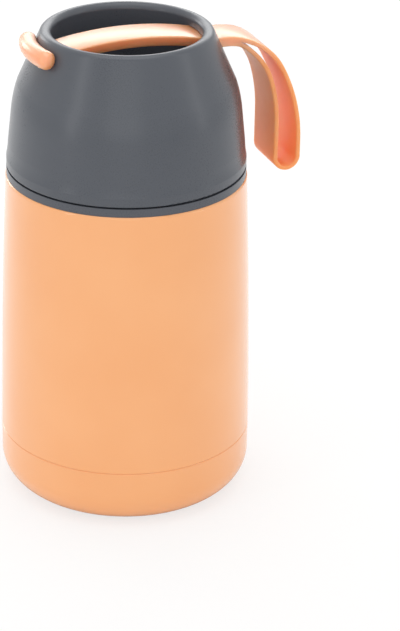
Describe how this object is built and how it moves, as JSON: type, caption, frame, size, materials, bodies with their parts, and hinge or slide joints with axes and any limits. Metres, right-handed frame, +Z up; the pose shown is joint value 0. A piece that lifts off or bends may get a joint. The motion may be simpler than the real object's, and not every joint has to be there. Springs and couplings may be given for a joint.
{
  "type": "insulated food jar",
  "caption": "Vacuum-insulated food jar with a rounded steel body, a screw stopper, a screw-on dome lid with an open neck, and a flexible strap that ends in a hand loop.",
  "frame": {"origin": "centre of the foot ring, on the surface that the jar stands on", "axes": "+Z up along the jar's axis; +X along the strap, towards its hand loop; +Y level and across the strap"},
  "size_m": [0.1126, 0.0948, 0.1802],
  "materials": {
    "painted_steel": "gloss peach-orange paint on steel",
    "steel": "fine brushed stainless steel",
    "foil": "bright rolled foil",
    "seal_glass": "dark sealing glass",
    "getter_metal": "sintered grey",
    "collar_plastic": "satin dark grey moulding",
    "dome_plastic": "satin dark grey moulding",
    "inner_plastic": "satin grey moulding",
    "button_plastic": "gloss peach-orange moulding",
    "strap_rubber": "smooth peach-orange elastomer",
    "silicone": "translucent white silicone",
    "foam": "rigid cell foam",
    "spring_steel": "bright spring wire",
    "base_plastic": "fine textured moulding"
  },
  "bodies": {
    "jar": {"outer_shell": "painted_steel", "bottom_cap": "painted_steel", "base_disc": "base_plastic", "vacuum_seal": "seal_glass", "getter": "getter_metal", "radiation_foil": "foil", "inner_vessel": "steel", "inner_bottom": "steel", "neck_collar": "collar_plastic"},
    "dome_seal": {"dome_gasket": "silicone"},
    "dome": {"dome_cover": "dome_plastic", "dome_liner": "inner_plastic", "strap_band": "strap_rubber"},
    "hand_loop": {"strap_loop": "strap_rubber"},
    "stopper_seal": {"stopper_gasket": "silicone"},
    "stopper": {"stopper_cup": "inner_plastic", "stopper_cap": "inner_plastic", "stopper_foam": "foam", "vent_spring": "spring_steel"},
    "vent": {"vent_button": "button_plastic", "vent_seal": "silicone"}
  },
  "joints": [
    {"name": "dome_lift", "type": "slide", "parent": "jar", "child": "dome_seal", "axis": [0, 0, 1], "range_m": [0, 0.03]},
    {"name": "dome_turn", "type": "hinge", "parent": "dome_seal", "child": "dome", "pos_m": [0, 0, 0], "axis": [0, 0, 1], "range_deg": [0, 1080]},
    {"name": "loop_swing", "type": "hinge", "parent": "dome", "child": "hand_loop", "pos_m": [0.036, 0, 0.1751], "axis": [0, -1, 0], "range_deg": [0, 120]},
    {"name": "stopper_lift", "type": "slide", "parent": "jar", "child": "stopper_seal", "axis": [0, 0, 1], "range_m": [0, 0.008]},
    {"name": "stopper_turn", "type": "hinge", "parent": "stopper_seal", "child": "stopper", "pos_m": [0, 0, 0], "axis": [0, 0, 1], "range_deg": [0, 360]},
    {"name": "vent_press", "type": "slide", "parent": "stopper", "child": "vent", "axis": [0, 0, -1], "range_m": [0, 0.002], "stiffness_N_per_m": 300, "springref_m": -0.002, "deforming": ["vent_spring"]}
  ],
  "couplings": [
    {"joint": "dome_lift", "follows": "dome_turn", "m_per_rad": 0.0015915},
    {"joint": "stopper_lift", "follows": "stopper_turn", "m_per_rad": 0.0012732}
  ]
}
